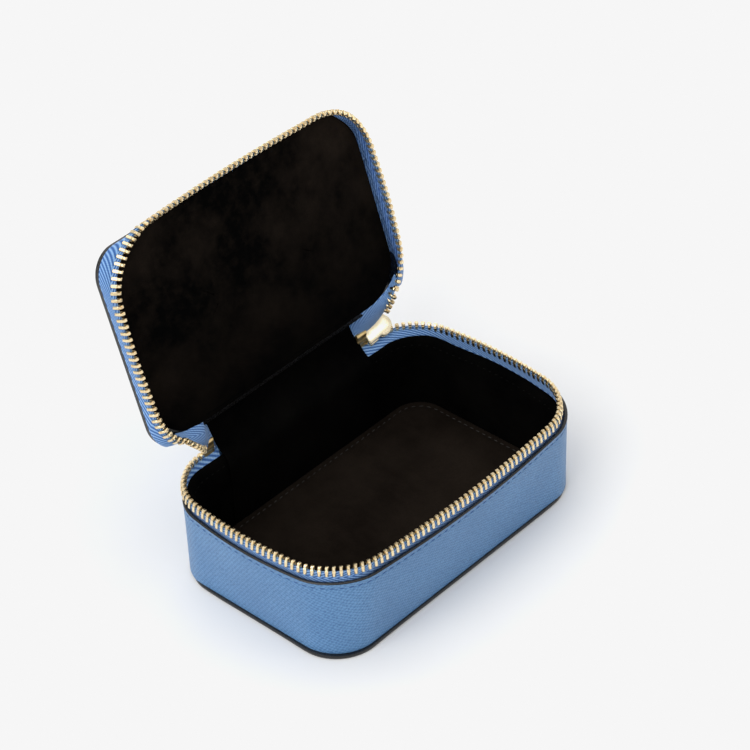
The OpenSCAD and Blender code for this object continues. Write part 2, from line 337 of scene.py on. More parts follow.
class Mat:
    def __init__(self, name):
        self.mat = bpy.data.materials.new(name)
        self.mat.use_nodes = True
        self.tree = self.mat.node_tree
        self.tree.nodes.clear()
        self.out = self.tree.nodes.new("ShaderNodeOutputMaterial")
        self.bsdf = self.tree.nodes.new("ShaderNodeBsdfPrincipled")
        self.link(self.bsdf.outputs[0], self.out.inputs[0])

    def node(self, kind, **settings):
        n = self.tree.nodes.new("ShaderNode" + kind)
        for k, v in settings.items():
            setattr(n, k, v)
        return n

    def link(self, a, b):
        self.tree.links.new(a, b)

    def put(self, socket, value):
        if isinstance(value, bpy.types.NodeSocket):
            self.link(value, socket)
        else:
            socket.default_value = value

    def math(self, op, a, b=0.0, c=0.0):
        n = self.node("Math", operation=op)
        for s, v in zip(n.inputs, (a, b, c)):
            self.put(s, v)
        return n.outputs[0]

    def uv(self):
        n = self.node("UVMap", uv_map="mm")
        sep = self.node("SeparateXYZ")
        self.link(n.outputs[0], sep.inputs[0])
        return n.outputs[0], sep.outputs[0], sep.outputs[1]

    def place(self):
        """Object coordinates in millimetres."""
        n = self.node("TexCoord")
        s = self.node("VectorMath", operation="SCALE")
        self.link(n.outputs["Object"], s.inputs[0])
        s.inputs["Scale"].default_value = 1 / MM
        return s.outputs[0]

    def noise(self, vector, scale, detail=3.0, rough=0.5, stretch=None):
        if stretch is not None:
            m = self.node("Mapping")
            self.link(vector, m.inputs[0])
            m.inputs["Scale"].default_value = stretch
            vector = m.outputs[0]
        n = self.node("TexNoise")
        self.link(vector, n.inputs["Vector"])
        n.inputs["Scale"].default_value = scale
        n.inputs["Detail"].default_value = detail
        n.inputs["Roughness"].default_value = rough
        return n.outputs[0]

    def ramp(self, fac, stops):
        n = self.node("ValToRGB")
        self.link(fac, n.inputs[0])
        e = n.color_ramp.elements
        while len(e) < len(stops):
            e.new(0.5)
        for k, (position, colour) in enumerate(stops):
            e[k].position = position
            e[k].color = colour
        return n.outputs[0]

    def mix(self, fac, a, b):
        n = self.node("Mix", data_type="RGBA")
        self.put(n.inputs["Factor"], fac)
        self.put(n.inputs[6], a)
        self.put(n.inputs[7], b)
        return n.outputs[2]

    def range(self, value, a, b, c, d):
        """Maps a..b to c..d."""
        n = self.node("MapRange")
        self.put(n.inputs[0], value)
        for k, x in enumerate((a, b, c, d)):
            n.inputs[k + 1].default_value = x
        return n.outputs[0]

    def bump(self, height, distance, strength):
        n = self.node("Bump")
        n.inputs["Strength"].default_value = strength
        n.inputs["Distance"].default_value = distance * MM
        self.link(height, n.inputs["Height"])
        return n.outputs[0]

    def set(self, **inputs):
        for k, v in inputs.items():
            self.put(self.bsdf.inputs[k.replace("_", " ")], v)


GRAIN_A, GRAIN_B = 1.05, 1.1    # pitches of the leather's two families of ridges
RIB, BAND = 0.78, 3.2           # the tape's rib pitch, and how far a rib runs before it turns back
WEFT, TWIST = 1.0, 0.32         # pitches of the tape's cross threads and of the sewing thread's twist


def wave(m, value, pitch):
    return m.math("SINE", m.math("MULTIPLY", value, 2 * math.pi / pitch))


def grained_leather(name, colour, deep, light):
    """Cross-grain embossed leather: short slanted ridges crossed by fine lines."""
    m = Mat(name)
    uv, u, v = m.uv()
    wob = m.noise(uv, 0.8, 3.0)
    wob2 = m.noise(uv, 1.1, 3.0)
    # two families of slanted ridges that cross
    ua = m.math("MULTIPLY_ADD", wob, 2.2, u)
    va = m.math("MULTIPLY_ADD", wob2, 1.5, v)
    a = m.math("MULTIPLY_ADD", ua, 0.36, m.math("MULTIPLY", va, 0.93))
    b = m.math("MULTIPLY_ADD", ua, 0.80, m.math("MULTIPLY", va, -0.60))
    ra = wave(m, a, GRAIN_A)
    rb = wave(m, b, GRAIN_B)
    cells = m.math("ADD", m.math("MULTIPLY", ra, 0.46), m.math("MULTIPLY", rb, 0.42))
    fine = m.noise(uv, 5.0, 3.0, 0.6)
    height = m.math("ADD", m.range(cells, -0.8, 0.8, 0, 1), m.math("MULTIPLY", fine, 0.35))
    tone = m.noise(uv, 0.06, 3.0)
    pores = m.range(height, 0.0, 1.3, 0, 1)
    col = m.ramp(pores, [(0.0, deep), (0.45, colour), (1.0, light)])
    col = m.mix(m.range(tone, 0.35, 0.65, 0, 0.22), col, deep)
    m.set(Base_Color=col, Roughness=m.range(fine, 0.2, 0.8, 0.40, 0.54),
          Normal=m.bump(height, 0.10, 0.75), Specular_IOR_Level=0.42, Sheen_Weight=0.08)
    return m.mat


def painted_edge(name):
    """Black edge paint: smooth, slightly uneven, half gloss."""
    m = Mat(name)
    p = m.place()
    big = m.noise(p, 0.25, 2.0)
    small = m.noise(p, 3.0, 3.0)
    col = m.mix(m.range(big, 0.4, 0.7, 0, 0.5), rgb(7, 7, 8), rgb(15, 15, 17))
    m.set(Base_Color=col, Roughness=m.range(small, 0.3, 0.7, 0.20, 0.36),
          Normal=m.bump(small, 0.05, 0.5), Specular_IOR_Level=0.5, Coat_Weight=0.25, Coat_Roughness=0.2)
    return m.mat


def suede(name, dark, light, sheen, low=None, high=None):
    """Brushed microsuede: soft clouds, fine nap, no shine; with low and high set, painted shade darkens it
    towards the height low, fading out by high.
    """
    m = Mat(name)
    p = m.place()
    clouds = m.noise(p, 0.045, 4.0, 0.62)
    nap = m.noise(p, 2.4, 4.0, 0.65)
    streak = m.noise(p, 0.35, 3.0, 0.6, stretch=(1.0, 0.35, 1.0))
    col = m.mix(m.range(clouds, 0.38, 0.68, 0, 1), dark, light)
    col = m.mix(m.range(streak, 0.45, 0.75, 0, 0.35), col, light)
    # painted shade: with low and high given, the colour goes darker towards the lower heights
    if low is not None:
        up = m.node("SeparateXYZ")
        m.link(p, up.inputs[0])
        col = m.mix(m.range(up.outputs[2], low, high, 0.75, 0.0), col, dark)
    col = m.mix(m.range(nap, 0.25, 0.6, 0.35, 0), col, rgb(3, 3, 3))
    h = m.math("ADD", m.math("MULTIPLY", nap, 0.7), m.math("MULTIPLY", streak, 0.6))
    m.set(Base_Color=col, Roughness=m.range(clouds, 0.3, 0.7, 0.9, 1.0), Normal=m.bump(h, 0.12, 0.5),
          Specular_IOR_Level=0.03, Sheen_Weight=sheen, Sheen_Roughness=0.5, Sheen_Tint=rgb(120, 110, 102))
    return m.mat


def woven_tape(name):
    """Zip tape: slanted twill ribs that turn back every few millimetres, fine cross threads."""
    m = Mat(name)
    uv, u, v = m.uv()
    band = m.math("PINGPONG", v, BAND)
    rib = wave(m, m.math("MULTIPLY_ADD", band, 0.95, m.math("MULTIPLY", u, 0.31)), RIB)
    cross = wave(m, u, WEFT)
    fuzz = m.noise(uv, 4.0, 3.0)
    h = m.math("ADD", m.math("MULTIPLY", rib, 0.42), m.math("MULTIPLY", cross, 0.06))
    h = m.math("ADD", h, m.math("MULTIPLY", fuzz, 0.4))
    k = m.range(h, -0.35, 0.75, 0, 1)
    col = m.ramp(k, [(0.0, rgb(36, 74, 140)), (0.5, rgb(90, 139, 204)), (1.0, rgb(166, 204, 243))])
    m.set(Base_Color=col, Roughness=m.range(fuzz, 0.2, 0.8, 0.66, 0.82), Normal=m.bump(h, 0.09, 0.8),
          Specular_IOR_Level=0.25, Sheen_Weight=0.25)
    return m.mat


def metal(name, light, dark, rough):
    """Gold plating with fine scratches along X."""
    m = Mat(name)
    p = m.place()
    tone = m.noise(p, 0.5, 3.0)
    scratch = m.noise(p, 2.5, 3.0, 0.6, stretch=(1.0, 5.0, 5.0))
    col = m.mix(m.range(tone, 0.35, 0.7, 0, 0.4), light, dark)
    m.set(Base_Color=col, Roughness=m.range(scratch, 0.3, 0.8, rough - 0.05, rough + 0.12),
          Normal=m.bump(scratch, 0.02, 0.35), Metallic=1.0)
    return m.mat


def thread(name, colour, dark, shine=0.5):
    """Twisted sewing thread."""
    m = Mat(name)
    uv, u, v = m.uv()
    twist = wave(m, m.math("ADD", u, m.math("MULTIPLY", v, 0.8)), TWIST)
    n = m.noise(m.place(), 3.0, 2.0)
    k = m.range(m.math("ADD", twist, n), -0.8, 1.6, 0, 1)
    m.set(Base_Color=m.mix(k, dark, colour), Roughness=m.range(n, 0.2, 0.8, 0.6, 0.8),
          Normal=m.bump(k, 0.05, 0.6), Specular_IOR_Level=shine)
    return m.mat


def board(name):
    """Grey fibre board."""
    m = Mat(name)
    fibre = m.noise(m.place(), 0.8, 5.0, 0.7, stretch=(0.4, 1.0, 2.0))
    m.set(Base_Color=m.ramp(fibre, [(0.2, rgb(112, 104, 94)), (0.8, rgb(160, 150, 136))]),
          Roughness=m.range(fibre, 0.2, 0.8, 0.8, 0.95), Normal=m.bump(fibre, 0.1, 0.5))
    return m.mat


LEATHER = grained_leather("leather_blue", rgb(84, 130, 177), rgb(58, 100, 147), rgb(108, 154, 199))
EDGE = painted_edge("edge_paint")
BACKING = painted_edge("backing_black")
# black suede with painted shade: darker than the lid's and floor's suede, for the shaded inside of the
# tray
SUEDE = suede("suede_black_painted_shade", rgb(1, 1, 1), rgb(9, 8, 7), 0.0)
# painted shade: the lid's suede darkens towards the hinge, from 92 mm down to 44 mm
LID_SUEDE = suede("suede_lid_painted_shade", rgb(1, 1, 1), rgb(33, 27, 22), 0.01, 44, 92)
FLOOR_SUEDE = suede("suede_floor", rgb(21, 16, 12), rgb(33, 27, 22), 0.06)
TAPE = woven_tape("zip_tape_blue")
GOLD = metal("gold_plate", rgb(254, 244, 214), rgb(240, 212, 160), 0.19)
TOOTH_GOLD = metal("gold_teeth", rgb(252, 232, 190), rgb(214, 172, 108), 0.24)
# gold darkened and browned from the teeth's gold: painted reflection of the dark lining round the stops
STOP_GOLD = metal("gold_stops_painted_shade", rgb(240, 210, 150), rgb(196, 156, 92), 0.36)
THREAD = thread("thread_blue", rgb(70, 116, 178), rgb(24, 48, 88))
BLACK_THREAD = thread("thread_black", rgb(46, 42, 38), rgb(10, 9, 8))
SEAM_THREAD = thread("thread_lining", rgb(9, 8, 7), rgb(4, 4, 3), 0.1)
BOARD = board("grey_board")


# ---------- base ----------
RIM_BOW_FRONT, RIM_BOW_SIDE = 3.9, 4.2  # how far the soft rim bows outwards
BASE_LIP_X, BASE_LIP_Y = 0.75, 0.65     # how far the base stands out past the wall


def wall(z, inset=0.0):
    """Outline of the wall's outside at height z, drawn in by inset; the rim bows outwards."""
    t = np.clip((z - BASE_TOP) / (RIM_Z - BASE_TOP), 0, 1.02)
    bow = t ** 1.15
    return outline(HALF_L - 0.95 * t - inset, HALF_W + 0.35 * t - inset, WALL_R - inset,
                   front=RIM_BOW_FRONT * bow, side=RIM_BOW_SIDE * bow)


def base_outline(inset=0.0):
    p = outline(HALF_L + BASE_LIP_X - inset, HALF_W + BASE_LIP_Y - inset, WALL_R + 0.7 - inset)
    p = pull(pull(p, -1, 1, -1.5, 10), 1, -1, -1.4, 10)
    return pull(p, -1, -1, 0.5, 16)


s = Shell()
# inset, height and material of each row: leather underside, painted edge, suede top
profile = [(9.0, 0.06, 0), (2.0, 0.03, 0), (0.5, 0.0, 1), (0.18, 0.08, 1), (0.02, 0.3, 1),
           (0.0, 0.65, 1), (0.02, 0.95, 1), (0.18, 1.2, 1), (0.55, 1.3, 1), (1.4, 1.3, 1), (9.0, 1.3, 2)]
rows = [with_z(base_outline(i), z) for i, z, _ in profile]
UNDER = 2                       # the last row of the leather underside
s.grid(rows[:UNDER + 1], round_u=True, flat=True)
s.grid(rows[UNDER:], round_u=True, mat=[m for _, _, m in profile][UNDER:-1])
s.cap(rows[0][::-1], 0)
s.cap(rows[-1], 2)
piece("base_panel", s, "tray", [LEATHER, EDGE, SUEDE], ["base_leather"])

# ---------- tray wall ----------
s = Shell()
STITCH_Z = RIM_Z - 2.0          # the row of stitches lies in a shallow groove
EDGE_T = 1.1                    # the wall's thickness
outer = []
for z in [*np.linspace(BASE_TOP, STITCH_Z - 0.9, 15), STITCH_Z - 0.55, STITCH_Z - 0.3, STITCH_Z - 0.12,
          STITCH_Z + 0.12, STITCH_Z + 0.3, STITCH_Z + 0.55, RIM_Z - 0.9, RIM_Z - 0.5]:
    groove = 0.14 * math.exp(-((z - STITCH_Z) / 0.28) ** 2)
    turned = 0.16 * float(smooth((z - STITCH_Z) / 1.4))
    outer.append((z, groove - turned, 0))
# height, inset and material: outside, painted top edge, inside
profile = outer + [(RIM_Z - 0.32, -0.16, 1), (RIM_Z - 0.1, -0.02, 1), (RIM_Z, 0.22, 1),
                   (RIM_Z + 0.02, 0.5, 1), (RIM_Z - 0.02, 0.8, 1), (RIM_Z - 0.16, 1.02, 1),
                   (RIM_Z - 0.5, EDGE_T, 0), (20.0, EDGE_T, 0), (10.0, EDGE_T, 0), (BASE_TOP, EDGE_T, 0)]
rows = [with_z(wall(z, i), z) for z, i, _ in profile]
s.grid(rows, round_u=True, round_v=True, mat=[m for _, _, m in profile])
piece("tray_wall", s, "tray", [LEATHER, EDGE], ["tray_wall_leather"])


def stitches(path, up, flatness, pitch, length, radius, sink):
    """A row of thread capsules along an open 3-D path; up is the surface normal at each point.
    A stitch is a little flattened, and its ends sink in."""
    s = Shell()
    run = lengths(path)
    count = int(run[-1] / pitch)
    step = run[-1] / count
    template_v, template_f = [], []
    ring = 6
    stations = np.linspace(-1, 1, 7)
    for t in stations:
        r = radius * math.sqrt(max(1 - abs(t) ** 4, 0.02))
        for k in range(ring):
            a = 2 * math.pi * k / ring
            template_v.append([t * length / 2, r * math.cos(a), r * math.sin(a) * flatness - sink * t * t])
    for i in range(len(stations) - 1):
        for k in range(ring):
            n = (k + 1) % ring
            template_f.append([i * ring + k, i * ring + n, (i + 1) * ring + n, (i + 1) * ring + k])
    template_f.append(list(range(ring))[::-1])
    template_f.append([(len(stations) - 1) * ring + k for k in range(ring)])
    tv = np.array(template_v)
    uvs = [[(tv[i][0], tv[i][1]) for i in face] for face in template_f]
    for c in range(count):
        where = (c + 0.5) * step
        p = along(path, run, where)
        n = along(up, run, where)
        t = along(path, run, min(where + 0.3, run[-1])) - along(path, run, max(where - 0.3, 0))
        t /= np.linalg.norm(t)
        n -= t * (n @ t)
        n /= np.linalg.norm(n)
        b = np.cross(n, t)
        skew = 0.16 * math.sin(c * 2.3) * 0.4 + 0.16
        t2 = t * math.cos(skew) + b * math.sin(skew)
        b2 = np.cross(n, t2)
        s.add(p + tv[:, :1] * t2 + tv[:, 1:2] * b2 + tv[:, 2:] * n, template_f, uvs)
    return s


def strip(i0, i1, n):
    """Fractional outline indices between two places on the closed path."""
    return np.linspace(i0, i1, n)


BACK_SIDE = 42.2 / FLAT         # millimetres of the back between two points of the wall's outline
SPINE_I = (SPINE_X + 0.4) / BACK_SIDE
groove_line = wall(STITCH_Z, 0.05)
idx = strip(SPINE_I, COUNT - SPINE_I, 400)
path = with_z(at(groove_line, idx), STITCH_Z)
up = with_z(at(normals(groove_line), idx), 0.0)
s = stitches(path, up, 0.8, STITCH, STITCH_L, STITCH_R, STITCH_SINK)
piece("rim_stitching", s, "tray", [THREAD], ["rim_stitches"])

# ---------- inside of the tray ----------


def lining(z, inset):
    """The lining's outline and height; at the back it reaches higher up the tape."""
    p = wall(z, inset)
    rise = smooth((p[:, 1] - 16) / 12) * float(smooth((z - 22) / 5))
    p[:, 1] += 1.0 * rise
    return with_z(p, z + (1.6 - 0.7 * np.clip(p[:, 0] / 45, -1, 1)) * rise)


s = Shell()
profile = [(FLOOR_TOP - 1.6, 4.2), (8.0, 4.2), (14.0, 4.2), (20.0, 4.2), (24.5, 4.15), (26.2, 3.95),
           (27.2, 3.5), (27.75, 2.9), (27.9, 2.3), (27.6, 1.95), (26.5, 1.95), (24.5, 3.4), (14.0, 3.5),
           (FLOOR_TOP - 1.6, 3.5)]      # height and inset, up the face and back down behind it
rows = [lining(z, i) for z, i in profile]
s.grid(rows, round_u=True, round_v=True)


def puckered(v):
    """Small waves where the suede is turned over the wall."""
    out = v.copy()
    for k in range(len(v)):
        ripple = noise.noise(Vector(v[k] * 0.09)) + 0.5 * noise.noise(Vector(v[k] * 0.3))
        out[k, 2] += 0.22 * ripple * float(smooth((v[k, 2] - 22) / 4))
    return out


piece("tray_lining", s, "tray", [SUEDE], ["tray_wall_lining"], sharp=80, warp=puckered)

seam = lining(25.4, 4.02)
idx = strip(SPINE_I + 1, COUNT - SPINE_I - 1, 150).astype(int)
s = stitches(seam[idx], -with_z(normals(seam[:, :2]), 0.0)[idx], 0.8, 2.4, 1.5, 0.16, 0.16)
piece("lining_stitching", s, "tray", [SEAM_THREAD])

idx = strip(SPINE_I + 0.6, COUNT - SPINE_I - 0.6, 260)
section = ((1.4, 1.2), (18.0, 1.2), (19.6, 1.2), (19.6, 2.1), (21.5, 2.1), (21.5, 3.3), (18.0, 3.4),
           (1.4, 3.4))
rows = [with_z(at(wall(z, i), idx), z) for z, i in section]
piece("tray_board", tube(rows), "tray", [BOARD], ["tray_wall_board"])

# floor pad: crowned, with a sewn channel near its edge
PAD_L, PAD_W, PAD_R = PAD[1][0] + 0.1, PAD[1][1] + 0.1, WALL_R - 4.2
FLOOR_STITCH = 2.1
s = Shell()
insets = [0.0, 0.12, 0.4, 0.9, 1.3, 1.7, 1.95, FLOOR_STITCH, 2.25, 2.5, 2.9, 3.6, 5, 7, 9.5, 12.5, 16, 20,
          24, 28, 30.5]
rows = [with_z(outline(PAD_L - 1.0, PAD_W - 1.0, PAD_R - 1.0), PAD[0][2]),
        with_z(outline(PAD_L - 0.1, PAD_W - 0.1, PAD_R), PAD[0][2] + 0.4)]
for i in insets:
    rolled = 0.75 * (1 - min(i / 0.9, 1)) ** 2
    channel = 0.42 * math.exp(-((i - FLOOR_STITCH) / 0.42) ** 2)
    crown = 0.45 * float(smooth((i - FLOOR_STITCH) / 7))
    z = FLOOR_TOP - rolled - channel + crown
    rows.append(with_z(outline(PAD_L - i, PAD_W - i, max(PAD_R - i * 0.55, 1.5)), z))
s.grid(rows, round_u=True)
s.cap(rows[0][::-1])
s.cap(rows[-1])


def settled(v):
    """Slow, shallow unevenness over the top of the pad."""
    out = v.copy()
    for k in range(len(v)):
        if v[k, 2] > FLOOR_TOP - 0.8:
            out[k, 2] += 0.10 * noise.noise(Vector((v[k, 0] * 0.06, v[k, 1] * 0.06, 3.1)))
    return out


floor = piece("floor_cushion", s, "tray", [FLOOR_SUEDE], ["floor_pad"], sharp=80,
              warp=settled)

line = outline(PAD_L - FLOOR_STITCH, PAD_W - FLOOR_STITCH, PAD_R - FLOOR_STITCH * 0.55)
path = with_z(np.r_[line, line[:1]], FLOOR_TOP - 0.36)
s = stitches(path, np.tile([0.0, 0.0, 1.0], (len(path), 1)), 0.8, 2.5, 1.7, 0.19, 0.2)
piece("floor_stitching", s, "tray", [BLACK_THREAD], ["floor_stitches"])

# ---------- zip tapes and teeth ----------
TRAY_EDGE_Z = 31.5              # edge of the tray's tape, where its teeth sit
LID_EDGE_Z = 33.2               # and of the closed lid's


def tray_chain(grow=0.0):
    return outline(54.0 + grow, 35.6 + grow, 15 + grow, front=3.3, side=3.6, cy=1.25)


def lid_chain(grow=0.0):
    p = outline(52.7 + grow, 34.3 + grow, 17 + grow, front=1.6, side=2.1, cx=-0.3, cy=0.8)
    p = pull(p, -1, 1, 1.5)
    return pull(p, 1, -1, 1.1)


def lid_panel(inset=0.0):
    p = outline(55.4 - inset, 33.0 - inset, 9.3 - inset, cy=0.9)
    return pull(p, 1, -1, -2.2, 9)


def ribbon(centres, halves, idx, opened=False):
    """Closed strip of cloth along a path: centre-line rows of (closed outline, z) and half widths."""
    mids = [with_z(at(o, idx), z) for o, z in centres]
    n3 = with_z(normals(mids[-1][:, :2], closed=False), 0.0)
    out = [m + n3 * h for m, h in zip(mids, halves)]
    inn = [m - n3 * h for m, h in zip(mids, halves)][::-1]
    return [open_lid(r) if opened else r for r in out + inn], mids


rim_in = wall(RIM_Z, 1.75)
chain = tray_chain()
centres = [(wall(20, 1.6), 20.0), (wall(25, 1.6), 25.0), (wall(28, 1.65), 28.0), (rim_in, 28.9),
           (blend_rows(rim_in, chain, 0.3), 29.6), (blend_rows(rim_in, chain, 0.72), 30.5),
           (chain, 31.1), (chain, TRAY_EDGE_Z)]
halves = [0.22, 0.22, 0.22, 0.24, 0.26, 0.3, 0.42, 0.3]
CHAIN_STEP = 39.0 / FLAT        # millimetres of the back between two points of the chain's outline
TAPE_I = 31.4 / CHAIN_STEP      # the tape starts and ends behind the spine
rows, mids = ribbon(centres, halves, strip(TAPE_I, COUNT - TAPE_I, 320))
piece("tray_tape", tube(rows), "tray", [TAPE], ["tray_zip_tape"], sharp=60)

# one tooth, pointing up: head, locking bump and two jaws that grip the tape's edge
TOOTH = join(
    chamfer_box((1.50, 1.12, 1.5), (0.40, 0.22, 0.40), (0, 0, 1.0)),
    chamfer_box((0.80, 0.50, 0.55), (0.2, 0.14, 0.2), (0, 0.42, 1.55)),
    chamfer_box((0.60, 1.0, 2.2), (0.18, 0.2, 0.24), (0.57, 0, -0.30), 0.10),
    chamfer_box((0.60, 1.0, 2.2), (0.18, 0.2, 0.24), (-0.57, 0, -0.30), -0.10),
)


def teeth(edge, root, first, opened=False, window=None):
    """Teeth along the edge row from the length first on; each points from the root row to the edge."""
    s = Shell()
    run = lengths(edge)
    tv, tf = TOOTH
    count = int((run[-1] - first) / PITCH) + 1
    for c in range(count):
        where = first + c * PITCH
        if where > run[-1]:
            break
        p = along(edge, run, where)
        if window is not None and not window(p):
            continue
        d = along(edge, run, min(where + 0.4, run[-1])) - along(edge, run, max(where - 0.4, 0))
        b = d / np.linalg.norm(d)
        lean = p - along(root, run, where)
        lean -= b * (lean @ b)
        lean /= np.linalg.norm(lean)
        a = np.cross(b, lean)
        jig = 0.05 * math.sin(c * 12.9898)
        cv = p + tv[:, :1] * a + (tv[:, 1:2] + jig) * b + tv[:, 2:] * lean
        s.add(open_lid(cv) if opened else cv, tf)
    return s


edge = mids[-1]
lean_n = with_z(normals(edge[:, :2], closed=False), 0.0)
root = edge - [0, 0, 1.0] + lean_n * 0.2
# none between the stops at the back
s = teeth(edge, root, 5.4, window=lambda p: not (abs(p[0]) < STOP_X + 3.0 and p[1] > 20))
piece("tray_teeth", s, "tray", [TOOTH_GOLD], ["tray_zip_teeth"], sharp=35)

# lid tape and teeth, drawn closed
LEFT_END, RIGHT_END = -46.6, 46.8   # where the lid's tape leaves the lid at the back
lchain = lid_chain()
hem = lid_panel(6.0)            # under the lining; narrower towards the tape's two ends
hem = blend_rows(hem, lid_panel(1.5), smooth((hem[:, 1] - 16) / 6)[:, None])
lroot = lid_panel(-0.15)
centres = [(hem, LID_Z - 0.3), (lid_panel(1.2), LID_Z - 0.3), (lroot, LID_Z - 0.35),
           (blend_rows(lroot, lchain, 0.05), LID_Z - 0.9),
           (blend_rows(lroot, lchain, 0.35), LID_Z - 1.9),
           (blend_rows(lroot, lchain, 0.75), LID_Z - 2.7), (lchain, LID_EDGE_Z + 0.45),
           (lchain, LID_EDGE_Z)]
halves = [0.2, 0.22, 0.26, 0.28, 0.26, 0.3, 0.42, 0.3]
first = next(k for k in range(COUNT) if lchain[k][0] < LEFT_END)
last = next(k for k in range(COUNT - 1, 0, -1) if lchain[k][0] > RIGHT_END)
lid_i = strip(first, last, 300)
rows, _ = ribbon(centres, halves, lid_i, opened=True)
piece("lid_tape", tube(rows), "lid", [TAPE], ["lid_zip_tape"], sharp=60)

edge = with_z(at(lchain, lid_i), LID_EDGE_Z)
root = with_z(at(blend_rows(lroot, lchain, 0.55), lid_i), LID_EDGE_Z + 1.9)
s = teeth(edge, root, 0.4, opened=True)
piece("lid_teeth", s, "lid", [TOOTH_GOLD], ["lid_zip_teeth"], sharp=35)


def tape_end(name, outer, inner, weight, row_from):
    """The last stretch of the lid's tape beside the spine, in the rest pose; it flexes between
    tray and lid, so it is blended from start to end. Its teeth are a second piece on the outer edge, from
    the point row_from on; they lean with the lid by weight."""
    n, across = 60, 10
    o, q = curve(outer, n), curve(inner, n)
    mid = np.array([q * (1 - f) + o * f - [0, 0.9 * math.sin(math.pi * f), 0]
                    for f in np.linspace(0, 1, across)])
    du, dv = np.gradient(mid, axis=1), np.gradient(mid, axis=0)
    nn = np.cross(du, dv)
    nn /= np.maximum(np.linalg.norm(nn, axis=2, keepdims=True), 1e-9)
    rows = list(mid + nn * 0.24) + list((mid - nn * 0.24)[::-1])
    ob = piece(name, tube(rows, u=lengths(o)), None, [TAPE], sharp=60)
    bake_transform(ob)
    part = o[row_from:]
    lean = OPEN * weight(part)
    head = np.c_[np.zeros(len(part)), -np.sin(lean), -np.cos(lean)]
    s = teeth(part, part - head, 0.9)
    ob = piece(name + "_teeth", s, None, [TOOTH_GOLD], sharp=35)
    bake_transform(ob)


# the left end flexes along a slanting line: up and outwards
LEFT_START, LEFT_FINISH = (-0.0332, 0, 0.0349), (-0.039, 0, 0.0465)
LEFT_WAY = (np.array(LEFT_FINISH) - np.array(LEFT_START)) / MM
LEFT_WAY /= LEFT_WAY @ LEFT_WAY
tape_end("tape_end_left",
         [(-31.5, 37.6, 31.2), (-34, 37.4, 32.6), (-36.6, 36.2, 34.2), (-39.5, 34.4, 37.0),
          (-42.3, 33.4, 39.9), (-45, 32.8, 42.7), (-47.0, 33.4, 45.0)],
         [(-31.6, 39.2, 36.0), (-32.4, 39.4, 39), (-33.6, 38.9, 41.6), (-36.5, 36.9, 43.9),
          (-40, 36.5, 44.6), (-44.5, 36.5, 45.2), (-48.2, 36.5, 46.6)],
         lambda p: smooth((p - np.array(LEFT_START) / MM) @ LEFT_WAY), 22)
tape_end("tape_end_right",
         [(31.4, 37.6, 31.2), (35, 37.6, 32.6), (39, 37.6, 34.2), (43.2, 37.5, 36.8), (44.4, 36.4, 39.4),
          (44.9, 35.5, 41.5), (45.4, 34.5, 44.1), (45.9, 33.8, 46.3), (47.2, 34.2, 47.7)],
         [(30.6, 39.2, 37.0), (29.6, 39.2, 41), (32.0, 37.4, 43.8), (37, 36.7, 44.6), (40, 36.7, 44.8),
          (42.5, 36.7, 45.1), (45.2, 36.7, 45.9), (48.0, 36.8, 47.4), (50.2, 36.8, 49.8)],
         lambda p: smooth((p[:, 2] - 36) / 10.5), 36)

# ---------- lid ----------
s = Shell()
t = LID_TOP - LID_Z
# inset, height and material: backing, painted edge with the line between the two layers, leather face
profile = [(14.0, 0.0, 2), (2.5, 0.0, 2), (0.45, 0.0, 1), (0.12, 0.16, 1), (0.0, 0.5, 1), (0.02, 0.9, 1),
           (0.06, 1.0, 1), (0.02, 1.12, 1), (0.0, 1.5, 1), (0.1, 1.86, 1), (0.4, t, 1), (0.7, t, 0),
           (1.6, t - 0.03, 0), (2.0, t - 0.1, 0), (2.4, t - 0.02, 0), (4.0, t + 0.02, 0),
           (9.0, t + 0.05, 0), (16.0, t + 0.06, 0)]
rows = [with_z(lid_panel(i), LID_Z + z) for i, z, _ in profile]
FACE = 11                       # the first row of the leather face
s.grid(rows[:FACE + 1], round_u=True, mat=[m for _, _, m in profile][:FACE])
s.grid(rows[FACE:], round_u=True, flat=True)
s.cap(rows[0][::-1], 2)
s.cap(rows[-1], 0)
piece("lid_panel", s, "lid", [LEATHER, EDGE, BACKING], ["lid_leather", "lid_backing"],
      warp=open_lid)

SEAM_IN = 2.0                   # how far the lid's stitches lie from its edge
idx = strip(SPINE_I + 2, COUNT - SPINE_I - 2, 400)
path = open_lid(with_z(at(lid_panel(SEAM_IN), idx), LID_TOP - 0.05))
up = np.tile(open_lid([[0, 0, 1.0]])[0] - open_lid([[0, 0, 0.0]])[0], (len(path), 1))
s = stitches(path, up, 0.8, STITCH, STITCH_L, STITCH_R, STITCH_SINK)
piece("lid_stitching", s, "lid", [THREAD], ["lid_stitches"])



# lining of the lid: a thin pad, highest in the middle
def lid_pad(inset):
    return pull(outline(52.3 - inset, 32.6 - inset, max(14.0 - inset * 0.5, 2), cy=-0.3), 1, -1, -0.8)


PAD_FACE = LID_Z - 0.9
s = Shell()
insets = [0.0, 0.1, 0.35, 0.8, 1.5, 2.6, 4.5, 7, 10, 14, 19, 24, 28, 31.5]
rows = [open_lid(with_z(lid_pad(0.5), LID_Z - 0.02))]
for i in insets:
    edge_drop = 0.55 * (1 - min(i / 0.8, 1)) ** 2
    z = PAD_FACE + edge_drop - 0.75 * float(smooth((i - 0.5) / 9))
    q = lid_pad(i)
    # along the front the lining climbs the tape almost to the teeth
    climb = smooth((-q[:, 1] - 22) / 9) * (1 - smooth((np.abs(q[:, 0]) - 40) / 9)) \
        * float(1 - smooth(i / 6))
    q[:, 1] -= 1.0 * climb
    rows.append(open_lid(with_z(q, z - 1.5 * climb)))
s.grid(rows, round_u=True)
s.cap(rows[0])
s.cap(rows[-1])
lid_cushion = piece("lid_cushion", s, "lid", [LID_SUEDE], ["lid_lining"], sharp=80)


